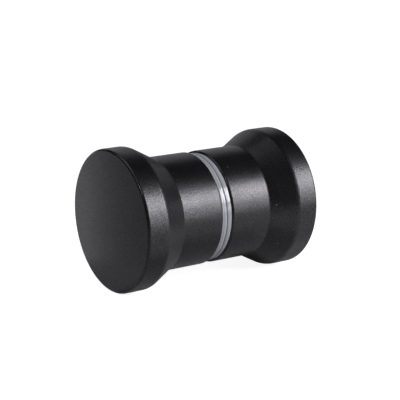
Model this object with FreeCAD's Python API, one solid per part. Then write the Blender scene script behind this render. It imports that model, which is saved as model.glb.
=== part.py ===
import FreeCAD, Part
import math
import os

# Back-to-back knob for a glass shower door, in millimetres.
# Two turned knobs face away from each other on one threaded stud. Each knob bears on the pane
# through a clear soft gasket, and a plastic sleeve keeps the stud off the edge of the hole.
# Here the set is closed up with no pane in it, so the two gaskets meet at the origin.
# The common axis is Y. The front knob looks along -Y and the rear knob along +Y. +Z is up.

# Knob, from its base at the gasket to its flat face
NECK_DIAMETER = 24.0
NECK_LENGTH = 9.6
FLARE_LENGTH = 5.6
HEAD_DIAMETER = 30.0
RIM_LENGTH = 4.8

# Blends and broken edges of the knob
THROAT_RADIUS = 0.8
SHOULDER_RADIUS = 2.0
FACE_EDGE_CHAMFER = 0.4
BASE_EDGE_CHAMFER = 0.25

# Gaskets
GASKET_DIAMETER = 23.2
GASKET_THICKNESS = 1.2
GASKET_EDGE_CHAMFER = 0.2

# Stud, a headless screw with a hexagon socket in its front end
STUD_DIAMETER = 6.0
STUD_LENGTH = 28.0
STUD_CHAMFER = 0.8
SOCKET_WIDTH = 3.0
SOCKET_DEPTH = 3.5
SOCKET_TIP_DIAMETER = 2.6
SOCKET_TIP_ANGLE = 120.0

# Sleeve on the stud, inside the hole of the pane
SLEEVE_DIAMETER = 10.0
SLEEVE_LENGTH = 8.0
SLEEVE_CHAMFER = 0.4

# Tapped hole and sleeve pocket in the base of each knob
DRILL_TIP_ANGLE = 118.0
STUD_END_ROOM = 1.0
TAPPED_MOUTH_CHAMFER = 0.6

# Clearances, on the radius unless they are along the axis
THREAD_CLEARANCE = 0.05
SLEEVE_ON_STUD_CLEARANCE = 0.2
SLEEVE_IN_POCKET_CLEARANCE = 0.2
SLEEVE_END_CLEARANCE = 0.2
GASKET_ON_SLEEVE_CLEARANCE = 0.15

# Sizes that follow from the ones above
neck_radius = NECK_DIAMETER / 2
head_radius = HEAD_DIAMETER / 2
flare_end = NECK_LENGTH + FLARE_LENGTH
knob_height = flare_end + RIM_LENGTH
stud_radius = STUD_DIAMETER / 2
stud_reach = STUD_LENGTH / 2
sleeve_radius = SLEEVE_DIAMETER / 2
sleeve_reach = SLEEVE_LENGTH / 2
sleeve_bore_radius = stud_radius + SLEEVE_ON_STUD_CLEARANCE
gasket_radius = GASKET_DIAMETER / 2
gasket_bore_radius = sleeve_radius + GASKET_ON_SLEEVE_CLEARANCE
pocket_radius = sleeve_radius + SLEEVE_IN_POCKET_CLEARANCE
pocket_depth = sleeve_reach + SLEEVE_END_CLEARANCE - GASKET_THICKNESS
tapped_radius = stud_radius + THREAD_CLEARANCE
tapped_depth = stud_reach + STUD_END_ROOM - GASKET_THICKNESS
drill_tip_length = tapped_radius / math.tan(math.radians(DRILL_TIP_ANGLE / 2))

ORIGIN = FreeCAD.Vector(0, 0, 0)
AXIS = FreeCAD.Vector(0, 1, 0)
UP = FreeCAD.Vector(0, 0, 1)
FULL_TURN = 360
HALF_TURN = 180
HEXAGON_SIDES = 6
SAME_PLACE = 1e-6


def at(radius, along):
    """A corner of a half section: its distance from the axis and its place along it."""
    return FreeCAD.Vector(radius, along, 0)


def blend(before, corner, after, radius):
    """The arc of this radius that rounds a corner between its two neighbours."""
    to_before = (before - corner).normalize()
    to_after = (after - corner).normalize()
    inward = (to_before + to_after).normalize()
    half_angle = to_before.getAngle(to_after) / 2
    setback = radius / math.tan(half_angle)
    middle = corner + inward * (radius / math.sin(half_angle) - radius)
    return Part.Arc(corner + to_before * setback, middle, corner + to_after * setback)


def turned(*section):
    """Solid made by turning a closed half section, given as its corners and blends in order."""
    edges = []
    reached = section[-1]
    for step in section:
        if isinstance(step, Part.Arc):
            edges.append(Part.LineSegment(reached, step.StartPoint).toShape())
            edges.append(step.toShape())
            reached = step.EndPoint
        else:
            edges.append(Part.LineSegment(reached, step).toShape())
            reached = step
    return Part.Face(Part.Wire(edges)).revolve(ORIGIN, AXIS, FULL_TURN)


def ring_edge(solid, radius, along):
    """The circular edge of a turned solid with this radius at this place along the axis."""
    for edge in solid.Edges:
        curve = edge.Curve
        if not isinstance(curve, Part.Circle):
            continue
        same_radius = abs(curve.Radius - radius) < SAME_PLACE
        same_place = abs(curve.Center.y - along) < SAME_PLACE
        if same_radius and same_place:
            return edge
    raise ValueError(f"no circular edge of radius {radius} at {along}")


def turned_knob():
    """One knob with its base on the plane Y = 0 and its flat face towards +Y."""
    base_edge = at(neck_radius, 0)
    throat = at(neck_radius, NECK_LENGTH)
    shoulder = at(head_radius, flare_end)
    face_edge = at(head_radius, knob_height)
    knob = turned(
        at(pocket_radius, 0),
        base_edge,
        blend(base_edge, throat, shoulder, THROAT_RADIUS),
        blend(throat, shoulder, face_edge, SHOULDER_RADIUS),
        face_edge,
        at(0, knob_height),
        at(0, tapped_depth + drill_tip_length),
        at(tapped_radius, tapped_depth),
        at(tapped_radius, pocket_depth),
        at(pocket_radius, pocket_depth),
    )
    knob = knob.makeChamfer(FACE_EDGE_CHAMFER, [ring_edge(knob, head_radius, knob_height)])
    knob = knob.makeChamfer(BASE_EDGE_CHAMFER, [ring_edge(knob, neck_radius, 0)])
    return knob.makeChamfer(TAPPED_MOUTH_CHAMFER, [ring_edge(knob, tapped_radius, pocket_depth)])


def gasket():
    """One soft washer on the plane Y = 0, with both edges of its rim broken."""
    washer = turned(
        at(gasket_bore_radius, 0),
        at(gasket_radius, 0),
        at(gasket_radius, GASKET_THICKNESS),
        at(gasket_bore_radius, GASKET_THICKNESS),
    )
    rim = [ring_edge(washer, gasket_radius, along) for along in (0, GASKET_THICKNESS)]
    return washer.makeChamfer(GASKET_EDGE_CHAMFER, rim)


def hexagon_socket():
    """The room of a hexagon key: a prism into the front end of the stud, with a drilled tip."""
    corner_radius = SOCKET_WIDTH / 2 / math.cos(math.pi / HEXAGON_SIDES)
    corners = []
    for corner in range(HEXAGON_SIDES):
        angle = math.radians(FULL_TURN * corner / HEXAGON_SIDES)
        across = corner_radius * math.cos(angle)
        upward = corner_radius * math.sin(angle)
        corners.append(FreeCAD.Vector(across, -stud_reach, upward))
    prism = Part.Face(Part.makePolygon(corners + corners[:1])).extrude(AXIS * SOCKET_DEPTH)
    tip_radius = SOCKET_TIP_DIAMETER / 2
    tip_length = tip_radius / math.tan(math.radians(SOCKET_TIP_ANGLE / 2))
    socket_floor = FreeCAD.Vector(0, SOCKET_DEPTH - stud_reach, 0)
    return prism.fuse(Part.makeCone(tip_radius, 0, tip_length, socket_floor, AXIS))


def clamp_stud():
    """The screw that joins the knobs, centred on the gaskets' meeting plane."""
    shank = turned(
        at(0, -stud_reach),
        at(stud_radius, -stud_reach),
        at(stud_radius, stud_reach),
        at(0, stud_reach),
    )
    ends = [ring_edge(shank, stud_radius, along) for along in (-stud_reach, stud_reach)]
    return shank.makeChamfer(STUD_CHAMFER, ends).cut(hexagon_socket())


def glass_hole_sleeve():
    """The plastic tube between the stud and the edge of the hole in the pane."""
    tube = turned(
        at(sleeve_bore_radius, -sleeve_reach),
        at(sleeve_radius, -sleeve_reach),
        at(sleeve_radius, sleeve_reach),
        at(sleeve_bore_radius, sleeve_reach),
    )
    ends = [ring_edge(tube, sleeve_radius, along) for along in (-sleeve_reach, sleeve_reach)]
    return tube.makeChamfer(SLEEVE_CHAMFER, ends)


def on_rear_side(piece):
    """A piece of the rear half, moved back from the plane Y = 0 to its gasket's outer face."""
    return piece.translated(AXIS * GASKET_THICKNESS)


def on_front_side(piece):
    """The same piece of the rear half, turned about the vertical to look along -Y."""
    return piece.rotated(ORIGIN, UP, HALF_TURN)


def main():
    rear_knob = on_rear_side(turned_knob())
    rear_gasket = gasket()
    pieces = {
        "front_knob": on_front_side(rear_knob),
        "rear_knob": rear_knob,
        "front_gasket": on_front_side(rear_gasket),
        "rear_gasket": rear_gasket,
        "clamp_stud": clamp_stud(),
        "glass_hole_sleeve": glass_hole_sleeve(),
    }
    os.makedirs("parts", exist_ok=True)
    for name, piece in pieces.items():
        piece.exportStep(os.path.join("parts", f"{name}.step"))
        box = piece.BoundBox
        reach = f"along the axis {box.YMin:.2f} to {box.YMax:.2f}"
        print(f"{name}: {len(piece.Solids)} solid, {piece.Volume:.1f} mm3, {reach}")


main()
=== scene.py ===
# %% [markdown]
# # Back-to-back knob for a glass shower door
# Two turned metal knobs with a matte black coat sit on one hidden screw. Each bears on the glass
# through a clear soft gasket. Here the set is closed up with no glass in it, so the gaskets meet.
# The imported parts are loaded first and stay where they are. Everything after that is built around
# them, in metres, with the knobs' common axis along Y and the front knob looking along -Y.

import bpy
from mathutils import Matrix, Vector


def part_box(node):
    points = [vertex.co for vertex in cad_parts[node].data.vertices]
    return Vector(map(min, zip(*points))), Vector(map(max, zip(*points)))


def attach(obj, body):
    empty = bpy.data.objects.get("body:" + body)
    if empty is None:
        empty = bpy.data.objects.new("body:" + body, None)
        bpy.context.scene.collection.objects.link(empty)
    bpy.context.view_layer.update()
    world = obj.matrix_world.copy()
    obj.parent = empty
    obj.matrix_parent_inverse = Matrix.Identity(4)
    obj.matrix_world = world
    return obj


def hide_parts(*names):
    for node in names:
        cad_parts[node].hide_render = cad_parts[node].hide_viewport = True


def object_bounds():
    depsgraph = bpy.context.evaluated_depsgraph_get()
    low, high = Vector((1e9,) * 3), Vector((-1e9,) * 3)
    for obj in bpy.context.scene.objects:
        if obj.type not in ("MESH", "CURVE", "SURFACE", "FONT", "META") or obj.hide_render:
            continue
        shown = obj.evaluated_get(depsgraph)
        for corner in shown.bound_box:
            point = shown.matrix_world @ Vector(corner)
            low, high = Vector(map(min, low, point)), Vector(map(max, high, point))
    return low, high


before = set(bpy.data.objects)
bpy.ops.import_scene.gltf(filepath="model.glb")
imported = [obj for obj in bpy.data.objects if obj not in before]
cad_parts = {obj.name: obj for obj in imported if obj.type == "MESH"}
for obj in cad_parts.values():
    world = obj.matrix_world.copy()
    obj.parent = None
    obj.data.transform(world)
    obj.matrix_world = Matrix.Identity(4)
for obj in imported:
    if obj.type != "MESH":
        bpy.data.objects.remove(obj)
cad_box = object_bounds()
MM = 0.001
print("packed nodes:", sorted(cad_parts))
print("packed box in mm:", [[round(value / MM, 2) for value in corner] for corner in cad_box])

# %% [markdown]
# ## Camera
# The photograph looks from the right of the front knob's axis and a little above it, through a
# long lens. A camera can be placed by eye, but here its angles, distance and lens were fitted to
# the outline of the object, so the render can be laid over the photograph. The camera turns about
# a point close to the middle of the set, and that small step off the middle does the framing, so
# the lens needs no shift.

# %% Camera
import math

import bpy
from mathutils import Vector

VIEW_AZIMUTH = math.radians(55.5)
VIEW_ELEVATION = math.radians(14.0)
VIEW_DISTANCE = 277.2 * MM
VIEW_STEP_SIDEWAYS = 0.95 * MM
VIEW_STEP_UP = 1.55 * MM
LENS_LENGTH = 117.0
SENSOR_WIDTH = 36.0

towards_camera = Vector((
    math.sin(VIEW_AZIMUTH) * math.cos(VIEW_ELEVATION),
    -math.cos(VIEW_AZIMUTH) * math.cos(VIEW_ELEVATION),
    math.sin(VIEW_ELEVATION),
))
sideways = Vector((math.cos(VIEW_AZIMUTH), math.sin(VIEW_AZIMUTH), 0))
upwards = towards_camera.cross(sideways)
looked_at = sideways * VIEW_STEP_SIDEWAYS + upwards * VIEW_STEP_UP

camera_data = bpy.data.cameras.new("photo_camera")
camera_data.sensor_width = SENSOR_WIDTH
camera_data.lens = LENS_LENGTH
camera = bpy.data.objects.new("photo_camera", camera_data)
camera.location = looked_at + towards_camera * VIEW_DISTANCE
camera.rotation_euler = towards_camera.to_track_quat("Z", "Y").to_euler()
bpy.context.scene.collection.objects.link(camera)
bpy.context.scene.camera = camera
print("camera at", [round(value, 4) for value in camera.location], "m")

# %% [markdown]
# ## The half section of a turned piece
# Knobs, gaskets and sleeve are all lathe work, so one helper serves them. It draws half of the
# section as a wire of vertices and rounds the corners with a vertex bevel. Smooth shading averages
# the normals at each vertex, which would make a flat face look domed beside a rounded edge. A
# support vertex close to each end of every straight stretch holds that blending inside a narrow
# band.

# %% Half section
import bmesh

ROUND_STEPS = 8
SUPPORT_STEP = 0.1 * MM
SHORTEST_SUPPORTED = 4 * SUPPORT_STEP


def setback(before, corner, after, radius):
    """How far from a corner its rounding starts, along either stretch that meets there."""
    one_way = Vector(before[:2]) - Vector(corner[:2])
    other_way = Vector(after[:2]) - Vector(corner[:2])
    return radius / math.tan(one_way.angle(other_way) / 2)


def half_section(corners, closed):
    """A wire through corners given as (distance from the axis, place along it, rounding radius)."""
    section = bmesh.new()
    points = [section.verts.new((radius, along, 0)) for radius, along, rounding in corners]
    for here, there in zip(points, points[1:]):
        section.edges.new((here, there))
    if closed:
        section.edges.new((points[-1], points[0]))
    count = len(corners)
    for index, corner in enumerate(corners):
        if corner[2] == 0:
            continue
        reach = setback(corners[index - 1], corner, corners[(index + 1) % count], corner[2])
        bmesh.ops.bevel(
            section, geom=[points[index]], offset=reach, offset_type="OFFSET",
            segments=ROUND_STEPS, profile=0.5, affect="VERTICES", material=-1,
        )
    for edge in [edge for edge in section.edges if edge.calc_length() > SHORTEST_SUPPORTED]:
        near, far = edge.verts
        rest = bmesh.utils.edge_split(edge, near, SUPPORT_STEP / edge.calc_length())[0]
        longer = edge if far in edge.verts else rest
        bmesh.utils.edge_split(longer, far, SUPPORT_STEP / longer.calc_length())
    return section


print("each rounding has", ROUND_STEPS, "steps")

# %% [markdown]
# ## From the section to the piece
# Spinning the wire once round the Y axis makes the skin, as the lathe does. A Screw modifier could
# do that too, but the operator leaves a plain mesh, which can be merged where the spin closes and
# checked for open edges at once. Edges that really are sharp, such as the mouth of a bore, are
# marked by their angle, and all others are shaded smooth.

# %% Spin and finish
TURN_STEPS = 160
SHARP_ANGLE = math.radians(40)
SAME_PLACE = 1e-7


def spin_round(section):
    """Spins a wire half section into a closed skin about the Y axis, with its faces outwards."""
    bmesh.ops.spin(
        section, geom=section.verts[:] + section.edges[:], cent=(0, 0, 0), axis=(0, 1, 0),
        dvec=(0, 0, 0), angle=2 * math.pi, steps=TURN_STEPS, use_merge=True,
        use_normal_flip=False, use_duplicate=False,
    )
    bmesh.ops.remove_doubles(section, verts=section.verts, dist=SAME_PLACE)
    bmesh.ops.recalc_face_normals(section, faces=section.faces)


def finished(name, shape):
    """Turns a bmesh into a smooth shaded object at the origin."""
    mesh = bpy.data.meshes.new(name)
    open_edges = sum(1 for edge in shape.edges if not edge.is_manifold)
    shape.to_mesh(mesh)
    shape.free()
    mesh.shade_smooth()
    mesh.set_sharp_from_angle(angle=SHARP_ANGLE)
    piece = bpy.data.objects.new(name, mesh)
    bpy.context.scene.collection.objects.link(piece)
    size = [round(value / MM, 2) for value in piece.dimensions]
    print(f"{name}: {len(mesh.polygons)} faces, {open_edges} open edges, {size} mm")
    return piece


def turned(name, corners, closed=False):
    """A finished turned piece from its half section."""
    shape = half_section(corners, closed)
    spin_round(shape)
    return finished(name, shape)


print("each turned piece has", TURN_STEPS, "sides")

# %% [markdown]
# ## The two knobs
# Each knob is one turned blank: a flat face, a short straight rim, a flare that runs down to the
# neck with a soft shoulder and a tight throat, and a flat base. The base has a shallow pocket for
# the sleeve and a tapped hole for the screw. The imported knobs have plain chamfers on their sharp
# edges. A coated edge is really rounded and catches a thin line of light, so the knobs are turned
# again here with rounded edges, on the same sizes. The rear knob is the same section with its
# places along the axis counted the other way.

# %% Knobs
NECK_RADIUS = 12.0 * MM
NECK_LENGTH = 9.6 * MM
FLARE_LENGTH = 5.6 * MM
FACE_EDGE_RADIUS = 0.5 * MM
SHOULDER_RADIUS = 2.0 * MM
THROAT_RADIUS = 0.8 * MM
BASE_EDGE_RADIUS = 0.45 * MM
POCKET_RADIUS = 5.2 * MM
POCKET_DEPTH = 3.0 * MM
TAPPED_RADIUS = 3.05 * MM
TAPPED_DEPTH = 13.8 * MM
TAPPED_MOUTH = 0.6 * MM
DRILL_TIP_HALF_ANGLE = math.radians(59)

knob_low, knob_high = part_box("rear_knob")
HEAD_RADIUS = knob_high.x
BASE_PLACE = knob_low.y
FACE_PLACE = knob_high.y


def knob(name, facing):
    """One knob with its flat face towards facing, which is 1 for the rear and -1 for the front."""
    throat = BASE_PLACE + NECK_LENGTH
    shoulder = throat + FLARE_LENGTH
    pocket_floor = BASE_PLACE + POCKET_DEPTH
    hole_end = BASE_PLACE + TAPPED_DEPTH
    section = [
        (0, FACE_PLACE, 0),
        (HEAD_RADIUS, FACE_PLACE, FACE_EDGE_RADIUS),
        (HEAD_RADIUS, shoulder, SHOULDER_RADIUS),
        (NECK_RADIUS, throat, THROAT_RADIUS),
        (NECK_RADIUS, BASE_PLACE, BASE_EDGE_RADIUS),
        (POCKET_RADIUS, BASE_PLACE, 0),
        (POCKET_RADIUS, pocket_floor, 0),
        (TAPPED_RADIUS + TAPPED_MOUTH, pocket_floor, 0),
        (TAPPED_RADIUS, pocket_floor + TAPPED_MOUTH, 0),
        (TAPPED_RADIUS, hole_end, 0),
        (0, hole_end + TAPPED_RADIUS / math.tan(DRILL_TIP_HALF_ANGLE), 0),
    ]
    return turned(name, [(radius, facing * along, rounding) for radius, along, rounding in section])


front_knob = knob("front_turned_knob", -1)
rear_knob = knob("rear_turned_knob", 1)

# %% [markdown]
# ## The two gaskets
# Each gasket is a washer of clear soft plastic, a little smaller than the neck, so the base of the
# knob behind it shows as a thin dark lip. Washers are punched from a sheet, which leaves one edge
# rounded and the other crisp. Both lie the same way round here, with the rounder edge to the front,
# so a single rounding sinks between them as a dark seam round the middle of the pale band.

# %% Gaskets
GASKET_ROUND_EDGE = 0.3 * MM
GASKET_CRISP_EDGE = 0.08 * MM
GASKET_BORE_RADIUS = 5.15 * MM
gasket_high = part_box("rear_gasket")[1]
GASKET_RADIUS = gasket_high.x
GASKET_THICKNESS = gasket_high.y


def gasket(name, front_place):
    """One washer that starts at this place along the axis, with its rounder edge to the front."""
    rear_place = front_place + GASKET_THICKNESS
    section = [
        (GASKET_BORE_RADIUS, front_place, 0),
        (GASKET_RADIUS, front_place, GASKET_ROUND_EDGE),
        (GASKET_RADIUS, rear_place, GASKET_CRISP_EDGE),
        (GASKET_BORE_RADIUS, rear_place, 0),
    ]
    return turned(name, section, closed=True)


front_gasket = gasket("front_soft_gasket", -GASKET_THICKNESS)
rear_gasket = gasket("rear_soft_gasket", 0)

# %% [markdown]
# ## The thread of the screw
# A headless screw joins the knobs. Nothing of it shows while the set is closed, but it is what a
# stranger finds on taking the knobs apart, so it gets its real thread. One tooth of the thread is
# drawn as a wire and spun round the axis with a small step along it, which winds it into a helix.
# The ends are cut flat with a plane, and their crests are turned down to a cone.

# %% Thread
THREAD_PITCH = 1.0 * MM
THREAD_DEPTH = 0.613 * MM
THREAD_ROOT = THREAD_PITCH / 4
THREAD_CREST = THREAD_PITCH / 8
THREAD_STEPS = 48
SPARE_TURNS = 3
STUD_CHAMFER = 0.8 * MM
NEXT_TURN = 1e-6
stud_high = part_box("clamp_stud")[1]
STUD_RADIUS = stud_high.x
STUD_REACH = stud_high.y
THREAD_TURNS = math.ceil(2 * STUD_REACH / THREAD_PITCH) + SPARE_TURNS


def wind_thread(shape):
    """Spins one tooth into a turn of helix and repeats it past both ends of the screw."""
    root = STUD_RADIUS - THREAD_DEPTH
    flank = (THREAD_PITCH - THREAD_ROOT - THREAD_CREST) / 2
    start = -THREAD_TURNS * THREAD_PITCH / 2
    tooth = [
        (root, start),
        (root, start + THREAD_ROOT),
        (STUD_RADIUS, start + THREAD_ROOT + flank),
        (STUD_RADIUS, start + THREAD_ROOT + flank + THREAD_CREST),
        (root, start + THREAD_PITCH),
    ]
    points = [shape.verts.new((radius, along, 0)) for radius, along in tooth]
    for here, there in zip(points, points[1:]):
        shape.edges.new((here, there))
    bmesh.ops.spin(
        shape, geom=shape.verts[:] + shape.edges[:], cent=(0, 0, 0), axis=(0, 1, 0),
        dvec=(0, THREAD_PITCH / THREAD_STEPS, 0), angle=2 * math.pi, steps=THREAD_STEPS,
        use_merge=False, use_normal_flip=False, use_duplicate=False,
    )
    one_turn = shape.verts[:] + shape.edges[:] + shape.faces[:]
    for turn in range(1, THREAD_TURNS):
        copy = bmesh.ops.duplicate(shape, geom=one_turn)["geom"]
        copied = [item for item in copy if isinstance(item, bmesh.types.BMVert)]
        bmesh.ops.translate(shape, verts=copied, vec=(0, turn * THREAD_PITCH, 0))
    bmesh.ops.remove_doubles(shape, verts=shape.verts, dist=NEXT_TURN)


def trim_ends(shape):
    """Cuts both ends flat and turns the last crests down to a cone."""
    for side in (-1, 1):
        bmesh.ops.bisect_plane(
            shape, geom=shape.verts[:] + shape.edges[:] + shape.faces[:], dist=SAME_PLACE,
            plane_co=(0, side * STUD_REACH, 0), plane_no=(0, side, 0), clear_outer=True,
        )
    for vert in shape.verts:
        radius = math.hypot(vert.co.x, vert.co.z)
        past_chamfer = max(0, abs(vert.co.y) - (STUD_REACH - STUD_CHAMFER))
        shrink = min(1, (STUD_RADIUS - past_chamfer) / radius)
        vert.co.x *= shrink
        vert.co.z *= shrink


print("thread:", THREAD_TURNS, "turns before its ends are trimmed")

# %% [markdown]
# ## The socket of the screw
# A key turns the screw by a hexagon socket in its front end. A boolean could cut it, but a wound
# thread is a hard shape for one. So the round end is bridged to a hexagon, whose edges are pulled
# in twice: once straight for the walls of the socket, and once into a point, where the drill has
# been. The other end gets a flat cap.

# %% Socket
from mathutils import Matrix

SOCKET_WIDTH = 3.0 * MM
SOCKET_DEPTH = 3.5 * MM
SOCKET_TIP = 0.75 * MM
HEXAGON_SIDES = 6


def sink_socket(shape, front_rim):
    """Bridges the front end to a hexagon and sinks it to a drilled tip."""
    corner_radius = SOCKET_WIDTH / 2 / math.cos(math.pi / HEXAGON_SIDES)
    hexagon = bmesh.ops.create_circle(
        shape, cap_ends=False, segments=HEXAGON_SIDES, radius=corner_radius,
    )["verts"]
    upright = Matrix.Rotation(math.pi / 2, 3, "X")
    bmesh.ops.rotate(shape, verts=hexagon, cent=(0, 0, 0), matrix=upright)
    bmesh.ops.translate(shape, verts=hexagon, vec=(0, -STUD_REACH, 0))
    mouth = [edge for edge in shape.edges if all(vert in hexagon for vert in edge.verts)]
    bmesh.ops.bridge_loops(shape, edges=front_rim + mouth)
    wall = bmesh.ops.extrude_edge_only(shape, edges=mouth)["geom"]
    wall_end = [item for item in wall if isinstance(item, bmesh.types.BMVert)]
    bmesh.ops.translate(shape, verts=wall_end, vec=(0, SOCKET_DEPTH, 0))
    wall_edges = [item for item in wall if isinstance(item, bmesh.types.BMEdge)]
    tip = bmesh.ops.extrude_edge_only(shape, edges=wall_edges)["geom"]
    tip_end = [item for item in tip if isinstance(item, bmesh.types.BMVert)]
    bmesh.ops.pointmerge(
        shape, verts=tip_end, merge_co=(0, SOCKET_DEPTH + SOCKET_TIP - STUD_REACH, 0),
    )


def threaded_stud(name):
    """The headless screw: a wound thread with its ends trimmed, one capped and one socketed."""
    shape = bmesh.new()
    wind_thread(shape)
    trim_ends(shape)
    rims = [edge for edge in shape.edges if edge.is_boundary]
    front_rim = [edge for edge in rims if edge.verts[0].co.y < 0]
    rear_rim = [edge for edge in rims if edge.verts[0].co.y > 0]
    bmesh.ops.contextual_create(shape, geom=rear_rim)
    sink_socket(shape, front_rim)
    bmesh.ops.remove_doubles(shape, verts=shape.verts, dist=SAME_PLACE)
    bmesh.ops.recalc_face_normals(shape, faces=shape.faces)
    return finished(name, shape)


stud = threaded_stud("threaded_stud")

# %% [markdown]
# ## The sleeve
# A plastic tube on the screw keeps the metal off the edge of the hole in the glass. It is turned
# like the gaskets, with its outer edges broken and its bore a little wider than the screw.

# %% Sleeve
SLEEVE_BORE_RADIUS = 3.2 * MM
SLEEVE_EDGE_RADIUS = 0.4 * MM
sleeve_low, sleeve_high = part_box("glass_hole_sleeve")
sleeve = turned("hole_sleeve", [
    (SLEEVE_BORE_RADIUS, sleeve_low.y, 0),
    (sleeve_high.x, sleeve_low.y, SLEEVE_EDGE_RADIUS),
    (sleeve_high.x, sleeve_high.y, SLEEVE_EDGE_RADIUS),
    (SLEEVE_BORE_RADIUS, sleeve_high.y, 0),
], closed=True)

# %% [markdown]
# ## Riding and replacing
# The set has no joints, so every piece rides on the one body. The new pieces stand for the packed
# ones of the same name.

# %% Tie the pieces to the frame
BODY = "root"
STAND_INS = {
    "front_knob": (front_knob, "matte_black_coat"),
    "rear_knob": (rear_knob, "matte_black_coat"),
    "front_gasket": (front_gasket, "clear_soft_plastic"),
    "rear_gasket": (rear_gasket, "clear_soft_plastic"),
    "clamp_stud": (stud, "screw_steel"),
    "glass_hole_sleeve": (sleeve, "natural_nylon"),
}
for node, (piece, slot) in STAND_INS.items():
    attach(piece, BODY)
    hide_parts(node)
print("new pieces:", [piece.name for piece, slot in STAND_INS.values()])

# %% [markdown]
# ## Grain
# The coat is sprayed and baked, which leaves a very fine pebbled skin. Its bumps are about a third
# of a millimetre apart, just large enough to break the edge of a highlight into sparkle. Modelled
# in the mesh they would take millions of faces, so they are a bump in the shader. The same kind of
# skin, at other sizes, is on the plastic, the steel and the nylon, so the grain is a node group,
# made once. It takes the number of pebbles per metre, and gives a height for a Bump node and a slow
# drift for colour and gloss.

# %% Grain group
DRIFT_PER_METRE = 180
DRIFT_DETAIL = 3
PEBBLE_DETAIL = 1
PEBBLE_ROUGHNESS = 0.5


def new_group(name, inputs, outputs):
    """An empty shader node group with named sockets, and the two nodes that stand for them."""
    group = bpy.data.node_groups.new(name, "ShaderNodeTree")
    for socket, kind in inputs:
        group.interface.new_socket(socket, in_out="INPUT", socket_type=kind)
    for socket, kind in outputs:
        group.interface.new_socket(socket, in_out="OUTPUT", socket_type=kind)
    return group, group.nodes.new("NodeGroupInput"), group.nodes.new("NodeGroupOutput")


def grain_group():
    """Fine pebbles and a slow drift on the piece's own coordinates."""
    group, given, result = new_group(
        "skin_grain",
        [("Place", "NodeSocketVector"), ("Pebbles per metre", "NodeSocketFloat")],
        [("Height", "NodeSocketFloat"), ("Drift", "NodeSocketFloat")],
    )
    link = group.links.new
    pebbles = group.nodes.new("ShaderNodeTexNoise")
    pebbles.inputs["Detail"].default_value = PEBBLE_DETAIL
    pebbles.inputs["Roughness"].default_value = PEBBLE_ROUGHNESS
    drift = group.nodes.new("ShaderNodeTexNoise")
    drift.inputs["Scale"].default_value = DRIFT_PER_METRE
    drift.inputs["Detail"].default_value = DRIFT_DETAIL
    for noise in (pebbles, drift):
        link(given.outputs["Place"], noise.inputs["Vector"])
    link(given.outputs["Pebbles per metre"], pebbles.inputs["Scale"])
    link(pebbles.outputs["Fac"], result.inputs["Height"])
    link(drift.outputs["Fac"], result.inputs["Drift"])
    return group


skin_grain = grain_group()
print("group:", skin_grain.name, [item.name for item in skin_grain.interface.items_tree])

# %% [markdown]
# ## Dust
# Black shows every speck, and a few pale ones, a tenth of a millimetre across, lie on the knobs and
# the gaskets. They could be small loose meshes, but then each would have to be laid on its surface.
# Here a cell texture scatters points in space, a few millimetres apart, and the surface turns
# pale only where it passes very close to one of them. That leaves a handful of specks of different
# sizes. The fade starts at twice the full strength and is cut off at full, so a speck has a solid
# middle. Coat and plastic share the group, so it gives only a mask.

# %% Dust group
SPECK_MIDDLE = 2
SPECK_FULL = 1


def dust_group():
    """A mask that is full close to a scattered point and fades to nothing at Reach from it."""
    group, given, result = new_group(
        "dust_specks",
        [
            ("Place", "NodeSocketVector"),
            ("Points per metre", "NodeSocketFloat"),
            ("Reach", "NodeSocketFloat"),
        ],
        [("Mask", "NodeSocketFloat")],
    )
    link = group.links.new
    points = group.nodes.new("ShaderNodeTexVoronoi")
    link(given.outputs["Place"], points.inputs["Vector"])
    link(given.outputs["Points per metre"], points.inputs["Scale"])
    near = group.nodes.new("ShaderNodeMapRange")
    near.inputs["From Min"].default_value = 0
    near.inputs["To Min"].default_value = SPECK_MIDDLE
    near.inputs["To Max"].default_value = 0
    link(points.outputs["Distance"], near.inputs["Value"])
    link(given.outputs["Reach"], near.inputs["From Max"])
    solid = group.nodes.new("ShaderNodeMath")
    solid.operation = "MINIMUM"
    solid.inputs[1].default_value = SPECK_FULL
    link(near.outputs["Result"], solid.inputs[0])
    link(solid.outputs["Value"], result.inputs["Mask"])
    return group


dust_specks = dust_group()
print("group:", dust_specks.name, [item.name for item in dust_specks.interface.items_tree])

# %% [markdown]
# ## Placing a pattern
# Every finish starts from a Principled shader and the groups above. A group is placed on Object
# coordinates, so that the pattern stays on the piece, and a Mapping node can stretch it. Generated
# coordinates would squeeze the pattern differently on each piece. A Bump node turns the height of
# a pattern into the shader's normal, with its depth in metres.

# %% Placing helpers
def new_finish(name):
    """A node material, its tree and its shader."""
    material = bpy.data.materials.new(name)
    material.use_nodes = True
    return material, material.node_tree, material.node_tree.nodes["Principled BSDF"]


def place_group(tree, group, values, stretch=(1, 1, 1)):
    """A node group on Object coordinates, scaled by stretch, with its other inputs set by name."""
    place = tree.nodes.new("ShaderNodeTexCoord")
    mapping = tree.nodes.new("ShaderNodeMapping")
    mapping.inputs["Scale"].default_value = stretch
    node = tree.nodes.new("ShaderNodeGroup")
    node.node_tree = group
    for socket, value in values.items():
        node.inputs[socket].default_value = value
    tree.links.new(place.outputs["Object"], mapping.inputs["Vector"])
    tree.links.new(mapping.outputs["Vector"], node.inputs["Place"])
    return node


def bump(tree, height, depth, shader):
    """A Bump node of this depth in metres into the shader's normal."""
    node = tree.nodes.new("ShaderNodeBump")
    node.inputs["Strength"].default_value = 1
    node.inputs["Distance"].default_value = depth
    tree.links.new(height, node.inputs["Height"])
    tree.links.new(node.outputs["Normal"], shader.inputs["Normal"])


print("groups to place:", [group.name for group in (skin_grain, dust_specks)])

# %% [markdown]
# ## Blending values and colours
# These helpers add one node each and give back the socket to link on from, which keeps the finishes
# below as short as a recipe. A noise texture rarely reaches 0 or 1. Most of it lies between the two
# values named here, so that is the range to spread.

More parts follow.
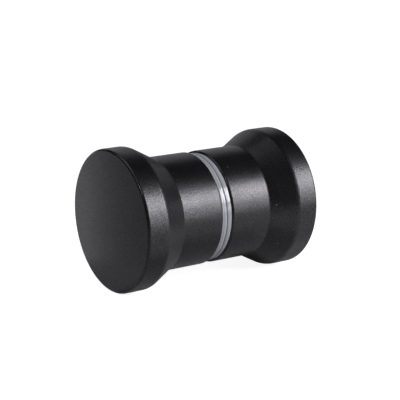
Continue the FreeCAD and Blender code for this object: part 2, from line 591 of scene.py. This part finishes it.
# %% Blending helpers
NOISE_LOW = 0.3
NOISE_HIGH = 0.7


def between(tree, value, start, end, low, high):
    """Spreads a value that runs from start to end over low to high."""
    node = tree.nodes.new("ShaderNodeMapRange")
    node.inputs["From Min"].default_value = start
    node.inputs["From Max"].default_value = end
    node.inputs["To Min"].default_value = low
    node.inputs["To Max"].default_value = high
    tree.links.new(value, node.inputs["Value"])
    return node.outputs["Result"]


def math_node(tree, operation, *values):
    """A Math node with its inputs linked or set in order."""
    node = tree.nodes.new("ShaderNodeMath")
    node.operation = operation
    for socket, value in zip(node.inputs, values):
        if isinstance(value, bpy.types.NodeSocket):
            tree.links.new(value, socket)
        else:
            socket.default_value = value
    return node.outputs["Value"]


def mixed(tree, factor, first, second):
    """A colour that goes from first to second, each a colour or a socket, with a 0 to 1 factor."""
    node = tree.nodes.new("ShaderNodeMix")
    node.data_type = "RGBA"
    tree.links.new(factor, node.inputs["Factor"])
    colour_sockets = [socket for socket in node.inputs if socket.type == "RGBA"]
    for socket, colour in zip(colour_sockets, (first, second)):
        if isinstance(colour, bpy.types.NodeSocket):
            tree.links.new(colour, socket)
        else:
            socket.default_value = (*colour, 1)
    return next(socket for socket in node.outputs if socket.type == "RGBA")


print("noise is spread from", NOISE_LOW, "to", NOISE_HIGH)

# %% [markdown]
# ## Polished edges
# Hands and cloths have polished the round edges of the knobs, so those are smoother than the rest
# and catch a thin broken line of light. A curvature node could find the edges, but the export would
# lose it. On a turned piece an edge is simply where the distance from the axis and the place along
# it both come to an end. At the edge of the face both are large, so their sum finds it. At the edge
# of the base the first is large and the second small, so their difference does.

# %% Polished edges
WORN_FULL = 0.1 * MM
FACE_EDGE_START = FACE_PLACE + HEAD_RADIUS - FACE_EDGE_RADIUS
BASE_EDGE_START = NECK_RADIUS - BASE_PLACE - BASE_EDGE_RADIUS


def worn_edges(tree):
    """A mask that is 1 on the rounded face edge and base edge of both knobs."""
    place = tree.nodes.new("ShaderNodeTexCoord")
    parts = tree.nodes.new("ShaderNodeSeparateXYZ")
    tree.links.new(place.outputs["Object"], parts.inputs["Vector"])
    along = math_node(tree, "ABSOLUTE", parts.outputs["Y"])
    across = math_node(tree, "POWER", parts.outputs["X"], 2)
    upward = math_node(tree, "POWER", parts.outputs["Z"], 2)
    radius = math_node(tree, "SQRT", math_node(tree, "ADD", across, upward))
    outer = math_node(tree, "ADD", along, radius)
    inner = math_node(tree, "SUBTRACT", radius, along)
    face_edge = between(tree, outer, FACE_EDGE_START, FACE_EDGE_START + WORN_FULL, 0, 1)
    base_edge = between(tree, inner, BASE_EDGE_START, BASE_EDGE_START + WORN_FULL, 0, 1)
    return math_node(tree, "MAXIMUM", face_edge, base_edge)


print("face edge from a sum of", round(FACE_EDGE_START / MM, 2), "mm")
print("base edge from a difference of", round(BASE_EDGE_START / MM, 2), "mm")

# %% [markdown]
# ## Matte black coat
# The coat is almost black and satin rather than dead flat: a soft box shows in it as a broad grey
# glow. Such a finish is easily made too grey. Here the colour stays very low, so that the sides
# away from the light go nearly black, and all the grey comes from the gloss. The roughness is in
# the middle, and both drift a little over the surface. The powder also leaves hard glossy grains,
# finer than the pebbles. A bump so fine would be averaged away, so the grain group is placed once
# more and drives the Coat Weight, which makes the glow look like sand. As these grains add gloss,
# the paint under them is set to less than the usual level. Dust lies on top: it is paler and dull.

# %% Matte black coat
COAT_DARK = (0.0030, 0.0028, 0.0032)
COAT_LIGHT = (0.0060, 0.0058, 0.0063)
COAT_SMOOTH = 0.30
COAT_ROUGH = 0.37
COAT_PEBBLES = 3300
COAT_PEBBLE_DEPTH = 30e-6
COAT_GLOSS_LEVEL = 0.35
SPARKLE_GRAINS = 5100
SPARKLE_START = 0.4
SPARKLE_MOST = 0.75
SPARKLE_ROUGHNESS = 0.38
COAT_WORN = (0.011, 0.011, 0.011)
WORN_ROUGHNESS_STEP = -0.19
DUST_COLOUR = (0.26, 0.26, 0.25)
DUST_ROUGHNESS_STEP = 0.5
DUST_POINTS = 260
DUST_REACH = 0.030


def dusted(tree, shader, colour, roughness):
    """Lays dust specks over a colour and a roughness, and gives both to the shader."""
    dust = place_group(tree, dust_specks, {"Points per metre": DUST_POINTS, "Reach": DUST_REACH})
    mask = dust.outputs["Mask"]
    tree.links.new(mixed(tree, mask, colour, DUST_COLOUR), shader.inputs["Base Color"])
    dull = math_node(tree, "MULTIPLY_ADD", mask, DUST_ROUGHNESS_STEP, roughness)
    tree.links.new(dull, shader.inputs["Roughness"])


def black_coat():
    """Satin black with pebbles, sparkling grains, polished edges and a few specks of dust."""
    material, tree, shader = new_finish("black_coat_finish")
    grain = place_group(tree, skin_grain, {"Pebbles per metre": COAT_PEBBLES})
    drift = grain.outputs["Drift"]
    worn = worn_edges(tree)
    colour = mixed(tree, worn, mixed(tree, drift, COAT_DARK, COAT_LIGHT), COAT_WORN)
    sprayed = between(tree, drift, NOISE_LOW, NOISE_HIGH, COAT_SMOOTH, COAT_ROUGH)
    roughness = math_node(tree, "MULTIPLY_ADD", worn, WORN_ROUGHNESS_STEP, sprayed)
    dusted(tree, shader, colour, roughness)
    bump(tree, grain.outputs["Height"], COAT_PEBBLE_DEPTH, shader)
    fine = place_group(tree, skin_grain, {"Pebbles per metre": SPARKLE_GRAINS})
    sparkle = between(tree, fine.outputs["Height"], SPARKLE_START, NOISE_HIGH, 0, SPARKLE_MOST)
    tree.links.new(sparkle, shader.inputs["Coat Weight"])
    shader.inputs["Coat Roughness"].default_value = SPARKLE_ROUGHNESS
    shader.inputs["Specular IOR Level"].default_value = COAT_GLOSS_LEVEL
    return material


coat = black_coat()
for piece in (front_knob, rear_knob):
    piece.data.materials.append(coat)
print("coat on", front_knob.name, rear_knob.name)

# %% [markdown]
# ## Clear soft plastic
# The gaskets are clear but slightly milky, and they look blue grey between the black knobs. A pure
# glass shader would show little but the black behind it. So half of the light goes through, and the
# other half scatters in a pale blue grey. Light that has run inside the plastic leaves it at its
# edges, and that glow is painted into the colour: each gasket gets paler towards the knob that it
# sits on. The rim is nearly smooth, with fine streaks round it from the cutting. They are the same
# grain group, stretched until its pebbles run round the axis. The soft box shows in the rim as a
# small white patch with straight ends, which the streaks and the seam split into lines.

# %% Clear soft plastic
PLASTIC_DARK = (0.285, 0.31, 0.34)
PLASTIC_LIGHT = (0.69, 0.715, 0.74)
# Painted glow: the colour and the distances from the seam over which the gaskets turn paler.
PLASTIC_PAINTED_GLOW = (0.85, 0.865, 0.88)
PAINTED_GLOW_START = 0.6 * MM
PAINTED_GLOW_END = 1.25 * MM
PLASTIC_SMOOTH = 0.08
PLASTIC_ROUGH = 0.13
PLASTIC_STREAKS = 1900
PLASTIC_STREAK_DEPTH = 10e-6
PLASTIC_STRETCH = (0.008, 1, 0.008)
PLASTIC_IOR = 1.41
PLASTIC_CLEAR = 0.5


def clear_plastic():
    """Milky clear plastic with a painted glow that pales it away from the plane where the gaskets
    meet.
    """
    material, tree, shader = new_finish("clear_plastic_finish")
    grain = place_group(tree, skin_grain, {"Pebbles per metre": PLASTIC_STREAKS}, PLASTIC_STRETCH)
    streaks = between(tree, grain.outputs["Height"], NOISE_LOW, NOISE_HIGH, 0, 1)
    milky = mixed(tree, streaks, PLASTIC_DARK, PLASTIC_LIGHT)
    place = tree.nodes.new("ShaderNodeTexCoord")
    parts = tree.nodes.new("ShaderNodeSeparateXYZ")
    tree.links.new(place.outputs["Object"], parts.inputs["Vector"])
    from_seam = math_node(tree, "ABSOLUTE", parts.outputs["Y"])
    # Painted glow: paler towards the knob faces, so the plastic is darker at the seam.
    edge = between(tree, from_seam, PAINTED_GLOW_START, PAINTED_GLOW_END, 0, 1)
    colour = mixed(tree, edge, milky, PLASTIC_PAINTED_GLOW)
    roughness = between(tree, streaks, 0, 1, PLASTIC_SMOOTH, PLASTIC_ROUGH)
    dusted(tree, shader, colour, roughness)
    bump(tree, grain.outputs["Height"], PLASTIC_STREAK_DEPTH, shader)
    shader.inputs["IOR"].default_value = PLASTIC_IOR
    shader.inputs["Transmission Weight"].default_value = PLASTIC_CLEAR
    return material


soft_plastic = clear_plastic()
for piece in (front_gasket, rear_gasket):
    piece.data.materials.append(soft_plastic)
print("plastic on", front_gasket.name, rear_gasket.name)

# %% [markdown]
# ## Steel and nylon inside
# The screw is plain bright steel and the sleeve is uncoloured nylon, which is a warm white. Both
# are hidden while the set is closed, but they show as soon as the knobs are taken apart, so they
# get the same care: drifting colour and gloss, and a fine skin from the grain group.

# %% Screw steel and natural nylon
STEEL_DARK = (0.52, 0.52, 0.51)
STEEL_LIGHT = (0.66, 0.66, 0.65)
STEEL_SMOOTH = 0.25
STEEL_ROUGH = 0.40
STEEL_PEBBLES = 2500
STEEL_PEBBLE_DEPTH = 4e-6
NYLON_DARK = (0.76, 0.74, 0.68)
NYLON_LIGHT = (0.84, 0.82, 0.77)
NYLON_SMOOTH = 0.38
NYLON_ROUGH = 0.50
NYLON_PEBBLES = 1500
NYLON_PEBBLE_DEPTH = 6e-6


def plain_finish(name, colours, gloss, pebbles, depth, metallic):
    """A finish whose colour and roughness drift between two values each, with a fine skin."""
    material, tree, shader = new_finish(name)
    shader.inputs["Metallic"].default_value = metallic
    grain = place_group(tree, skin_grain, {"Pebbles per metre": pebbles})
    drift = grain.outputs["Drift"]
    tree.links.new(mixed(tree, drift, *colours), shader.inputs["Base Color"])
    tree.links.new(between(tree, drift, NOISE_LOW, NOISE_HIGH, *gloss), shader.inputs["Roughness"])
    bump(tree, grain.outputs["Height"], depth, shader)
    return material


steel = plain_finish(
    "screw_steel_finish", (STEEL_DARK, STEEL_LIGHT), (STEEL_SMOOTH, STEEL_ROUGH),
    STEEL_PEBBLES, STEEL_PEBBLE_DEPTH, metallic=1,
)
nylon = plain_finish(
    "nylon_finish", (NYLON_DARK, NYLON_LIGHT), (NYLON_SMOOTH, NYLON_ROUGH),
    NYLON_PEBBLES, NYLON_PEBBLE_DEPTH, metallic=0,
)
stud.data.materials.append(steel)
sleeve.data.materials.append(nylon)
print("inside:", stud.name, steel.name, "and", sleeve.name, nylon.name)

# %% [markdown]
# ## Floor
# The set lies on a pale floor that looks white. Pouring on light until the floor turns white would
# wash out the black coat. So the paint itself is a middle grey, and it glows a little for the rays
# that come straight from the camera or through the clear plastic. Near the object the glow stays
# below white, which leaves room for the shadow, and further off it rises to white. The black face
# mirrors the floor in front of it, so the paint gets darker a few centimetres away: that is painted
# shade, which dims what the face mirrors. In the coat's gloss the glow shows only faintly, as it
# does on the real knob.

# %% Floor
FLOOR_RADIUS = 3.0
FLOOR_SIDES = 96
FLOOR_GAP = 0.02 * MM
PAINT_NEAR = (0.5, 0.5, 0.5)
# Painted shade: the darker grey further out, and the radii over which the floor darkens to it.
PAINTED_SHADE_FAR = (0.33, 0.33, 0.33)
PAINTED_SHADE_START = 0.05
PAINTED_SHADE_FULL = 0.1
WHITE_NEAR = 0.9
WHITE_FAR = 1.0
WHITE_NEAR_RADIUS = 0.2
WHITE_FAR_RADIUS = 0.5
WHITE_IN_GLOSS = 0.02


def background_strength(tree, white, in_gloss):
    """How strongly a background glows: white to the camera and through plastic, less in gloss."""
    path = tree.nodes.new("ShaderNodeLightPath")
    seen = math_node(
        tree, "MAXIMUM", path.outputs["Is Camera Ray"], path.outputs["Is Transmission Ray"])
    bright = math_node(tree, "MULTIPLY", seen, white)
    return math_node(tree, "MULTIPLY_ADD", path.outputs["Is Glossy Ray"], in_gloss, bright)


def pale_floor():
    """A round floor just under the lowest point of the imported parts."""
    shape = bmesh.new()
    bmesh.ops.create_circle(shape, cap_ends=True, segments=FLOOR_SIDES, radius=FLOOR_RADIUS)
    bmesh.ops.translate(shape, verts=shape.verts, vec=(0, 0, cad_box[0].z - FLOOR_GAP))
    mesh = bpy.data.meshes.new("pale_floor")
    shape.to_mesh(mesh)
    shape.free()
    plate = bpy.data.objects.new("pale_floor", mesh)
    bpy.context.scene.collection.objects.link(plate)
    return plate


def floor_paint():
    """Dull grey paint, darker further out as painted shade, that glows towards the camera, to white
    away from the object.
    """
    material, tree, shader = new_finish("floor_paint")
    shader.inputs["Roughness"].default_value = 1
    shader.inputs["Specular IOR Level"].default_value = 0
    place = tree.nodes.new("ShaderNodeTexCoord")
    distance = tree.nodes.new("ShaderNodeVectorMath")
    distance.operation = "LENGTH"
    tree.links.new(place.outputs["Object"], distance.inputs[0])
    away = distance.outputs["Value"]
    # Painted shade: the grey darkens between these radii, so the face mirrors a dimmer floor.
    far = between(tree, away, PAINTED_SHADE_START, PAINTED_SHADE_FULL, 0, 1)
    tree.links.new(mixed(tree, far, PAINT_NEAR, PAINTED_SHADE_FAR), shader.inputs["Base Color"])
    white = between(tree, away, WHITE_NEAR_RADIUS, WHITE_FAR_RADIUS, WHITE_NEAR, WHITE_FAR)
    glow = tree.nodes.new("ShaderNodeEmission")
    tree.links.new(background_strength(tree, white, WHITE_IN_GLOSS), glow.inputs["Strength"])
    both = tree.nodes.new("ShaderNodeAddShader")
    tree.links.new(shader.outputs["BSDF"], both.inputs[0])
    tree.links.new(glow.outputs["Emission"], both.inputs[1])
    tree.links.new(both.outputs["Shader"], tree.nodes["Material Output"].inputs["Surface"])
    return material


floor = pale_floor()
floor.data.materials.append(floor_paint())
print("floor at", round(floor.data.vertices[0].co.z / MM, 2), "mm")

# %% [markdown]
# ## Kinds of lamp
# A black satin piece is lit by what it mirrors, more than by what falls on it. So every lamp here
# is a flat area lamp, with a shape and edges that can show in the coat. Blender sets such a lamp by
# its power, and a larger lamp of the same power looks dimmer. So these helpers take how bright it
# looks, and work out the power from that and from its size. None of the lamps shows to the camera.

# %% Lamp helpers
LAMP_POWER_PER_RADIANCE = 4
LAMP_COLOUR = (1.0, 0.98, 1.05)
PAD_LIFT = 0.2 * MM


def flat_lamp(name, place, turn, width, height, radiance):
    """A flat lamp that looks as bright as radiance, turned by three angles from looking down."""
    data = bpy.data.lights.new(name, "AREA")
    data.shape = "RECTANGLE"
    data.size = width
    data.size_y = height
    data.energy = LAMP_POWER_PER_RADIANCE * width * height * radiance
    data.color = LAMP_COLOUR
    lamp = bpy.data.objects.new(name, data)
    lamp.visible_camera = False
    lamp.location = place
    lamp.rotation_euler = turn
    bpy.context.scene.collection.objects.link(lamp)
    print(f"{name}: {data.energy:.4f} W")


def soft_box(name, azimuth, elevation, distance, width, height, radiance):
    """A lamp that looks at the middle of the set, its azimuth turned from +X towards +Y."""
    level = math.radians(azimuth)
    rise = math.radians(elevation)
    outwards = Vector((
        math.cos(rise) * math.cos(level),
        math.cos(rise) * math.sin(level),
        math.sin(rise),
    ))
    turn = outwards.to_track_quat("Z", "Y").to_euler()
    flat_lamp(name, outwards * distance, turn, width, height, radiance)


def standing_card(name, x, y, width, height, radiance):
    """A white card that stands upright on the left and looks along +X."""
    turn = Vector((-1, 0, 0)).to_track_quat("Z", "Y").to_euler()
    flat_lamp(name, Vector((x, y, 0)), turn, width, height, radiance)


def light_pad(name, x, y, length, width, radiance):
    """A lamp that lies on the floor and shines upwards."""
    place = Vector((x, y, cad_box[0].z + PAD_LIFT))
    flat_lamp(name, place, (math.pi, 0, 0), length, width, radiance)


print("lamp colour:", LAMP_COLOUR)

# %% [markdown]
# ## Lamps
# The place of each lamp was found by asking which way a lit patch on the object looks. One large
# box to the right makes the broad glow on both necks and rims, and a lower one carries it down. A
# big dim box above and two behind, where the white background would be, lift the tops and draw the
# pale line along them. A small bright one in front draws the thin lines on the rounded edges. A
# white card stands beside the front face and fades across it, and three glowing pads on the floor
# light the face and the undersides from below.

# %% Lamps
soft_box(
    "key_soft_box", azimuth=40, elevation=25.5, distance=0.6,
    width=0.28, height=0.25, radiance=12.6,
)
soft_box(
    "low_soft_box", azimuth=36, elevation=4.5, distance=0.36,
    width=0.18, height=0.075, radiance=4.2,
)
soft_box(
    "top_soft_box", azimuth=240, elevation=58, distance=0.6,
    width=0.5, height=0.5, radiance=0.7,
)
soft_box(
    "front_soft_box", azimuth=-75, elevation=36, distance=0.5,
    width=0.06, height=0.06, radiance=15,
)
soft_box(
    "back_soft_box", azimuth=112, elevation=14, distance=0.4,
    width=0.25, height=0.14, radiance=0.2,
)
soft_box(
    "backdrop_box", azimuth=161, elevation=22, distance=0.5,
    width=0.42, height=0.40, radiance=0.3,
)
standing_card("left_card", x=-22.8 * MM, y=-24.5 * MM, width=15 * MM, height=30 * MM, radiance=0.50)
light_pad("front_light_pad", x=-15 * MM, y=-28.5 * MM, length=32 * MM, width=17 * MM, radiance=0.15)
light_pad("right_light_pad", x=56 * MM, y=24 * MM, length=64 * MM, width=80 * MM, radiance=0.3)
light_pad("rear_light_pad", x=17 * MM, y=38 * MM, length=14 * MM, width=43 * MM, radiance=0.17)

# %% [markdown]
# ## Surroundings
# The studio around the set is nearly dark, or its light would turn the coat grey. To the camera the
# same surroundings look white, like the floor, so that no horizon shows in low views. Colours are
# shown with the Standard view, which leaves them as they are.

# %% Surroundings
STUDIO_LIGHT = 0.01
STUDIO_IN_GLOSS = 0.01
SKY_COLOUR = (1, 1, 1, 1)
world = bpy.data.worlds.new("dim_studio")
world.use_nodes = True
sky_tree = world.node_tree
sky = sky_tree.nodes["Background"]
sky.inputs["Color"].default_value = SKY_COLOUR
sky_white = background_strength(sky_tree, WHITE_FAR, STUDIO_IN_GLOSS)
sky_tree.links.new(math_node(sky_tree, "MAXIMUM", sky_white, STUDIO_LIGHT), sky.inputs["Strength"])
bpy.context.scene.world = world
bpy.context.scene.view_settings.view_transform = "Standard"
print("surroundings:", world.name, "seen with", bpy.context.scene.view_settings.view_transform)
